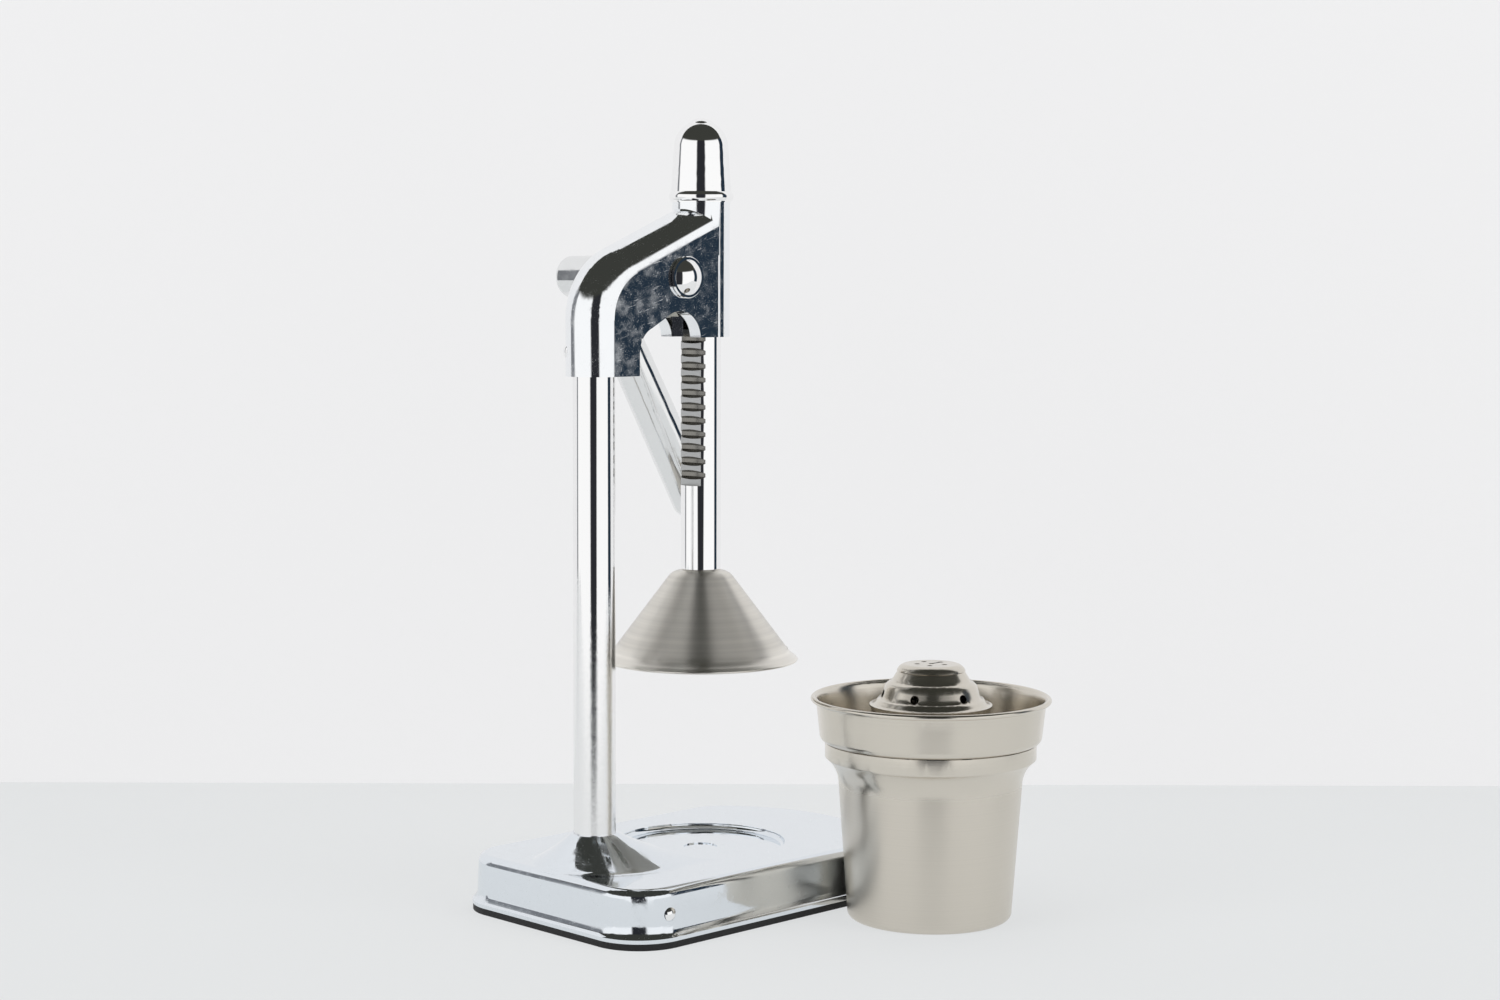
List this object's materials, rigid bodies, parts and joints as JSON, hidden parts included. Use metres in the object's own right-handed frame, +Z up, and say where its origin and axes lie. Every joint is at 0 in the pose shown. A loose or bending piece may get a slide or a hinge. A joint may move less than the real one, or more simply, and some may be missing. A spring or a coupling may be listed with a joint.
{
  "type": "citrus press juicer",
  "caption": "Manual lever citrus press: rack and pinion ram with a press cone on a column stand, with a loose cup, strainer bowl and stepped reamer.",
  "frame": {"origin": "on the table plane, under the axis of the press rod", "axes": "+X from the column towards the press rod and the bowed front edge, +Y towards the lever side, +Z up"},
  "size_m": [0.2002, 0.2235, 0.3629],
  "materials": {
    "polished_casting": "cast aluminium alloy, polished and plated bright",
    "chrome_tube": "bright chrome plated steel tube",
    "chrome_rod": "bright chrome plated steel bar, tooth tips ground dull",
    "chrome_trim": "bright chrome plated small parts",
    "chrome_lever": "bright chrome plated steel lever",
    "stainless_sheet": "stainless sheet with a fine turned satin finish",
    "stainless_cup": "stainless sheet with a warm satin finish",
    "plain_steel": "bright machined steel",
    "bronze": "sintered bronze",
    "rubber": "matt black rubber edging"
  },
  "bodies": {
    "stand": {"base_shell": "polished_casting", "base_edging": "rubber", "base_rivets": "plain_steel", "column_tube": "chrome_tube", "column_plug": "plain_steel", "column_washer": "plain_steel", "column_bolt": "plain_steel", "head_casting": "polished_casting", "collar_screw": "chrome_trim", "shaft_bushes": "bronze", "dome_cap": "chrome_trim"},
    "lever": {"pinion": "plain_steel", "pinion_shaft": "plain_steel", "pinion_key": "plain_steel", "cap_nut": "chrome_trim", "thrust_washer": "bronze", "lever_hub": "chrome_lever", "hub_pin": "plain_steel", "lever_stud": "plain_steel", "lever_handle": "chrome_lever", "lever_end_plug": "chrome_lever"},
    "ram": {"press_rod": "chrome_rod", "stop_washer": "plain_steel", "stop_screw": "plain_steel", "press_cone": "stainless_sheet", "cone_washer": "plain_steel", "cone_screw": "plain_steel"},
    "cup": {"cup": "stainless_cup"},
    "strainer": {"strainer_bowl": "stainless_cup", "reamer_dome": "stainless_cup"}
  },
  "joints": [
    {"name": "lever_turn", "type": "hinge", "parent": "stand", "child": "lever", "pos_m": [-0.022, 0, 0.29], "axis": [0, -1, 0], "range_deg": [0, 175]},
    {"name": "ram_slide", "type": "slide", "parent": "stand", "child": "ram", "axis": [0, 0, 1], "range_m": [0, 0.052]},
    {"name": "cup_lift", "type": "slide", "parent": "stand", "child": "cup", "axis": [0, 0, 1], "range_m": [0, 0.12]},
    {"name": "strainer_lift", "type": "slide", "parent": "cup", "child": "strainer", "axis": [0, 0, 1], "range_m": [0, 0.1]}
  ],
  "couplings": [
    {"joint": "ram_slide", "follows": "lever_turn", "m_per_rad": 0.017}
  ]
}
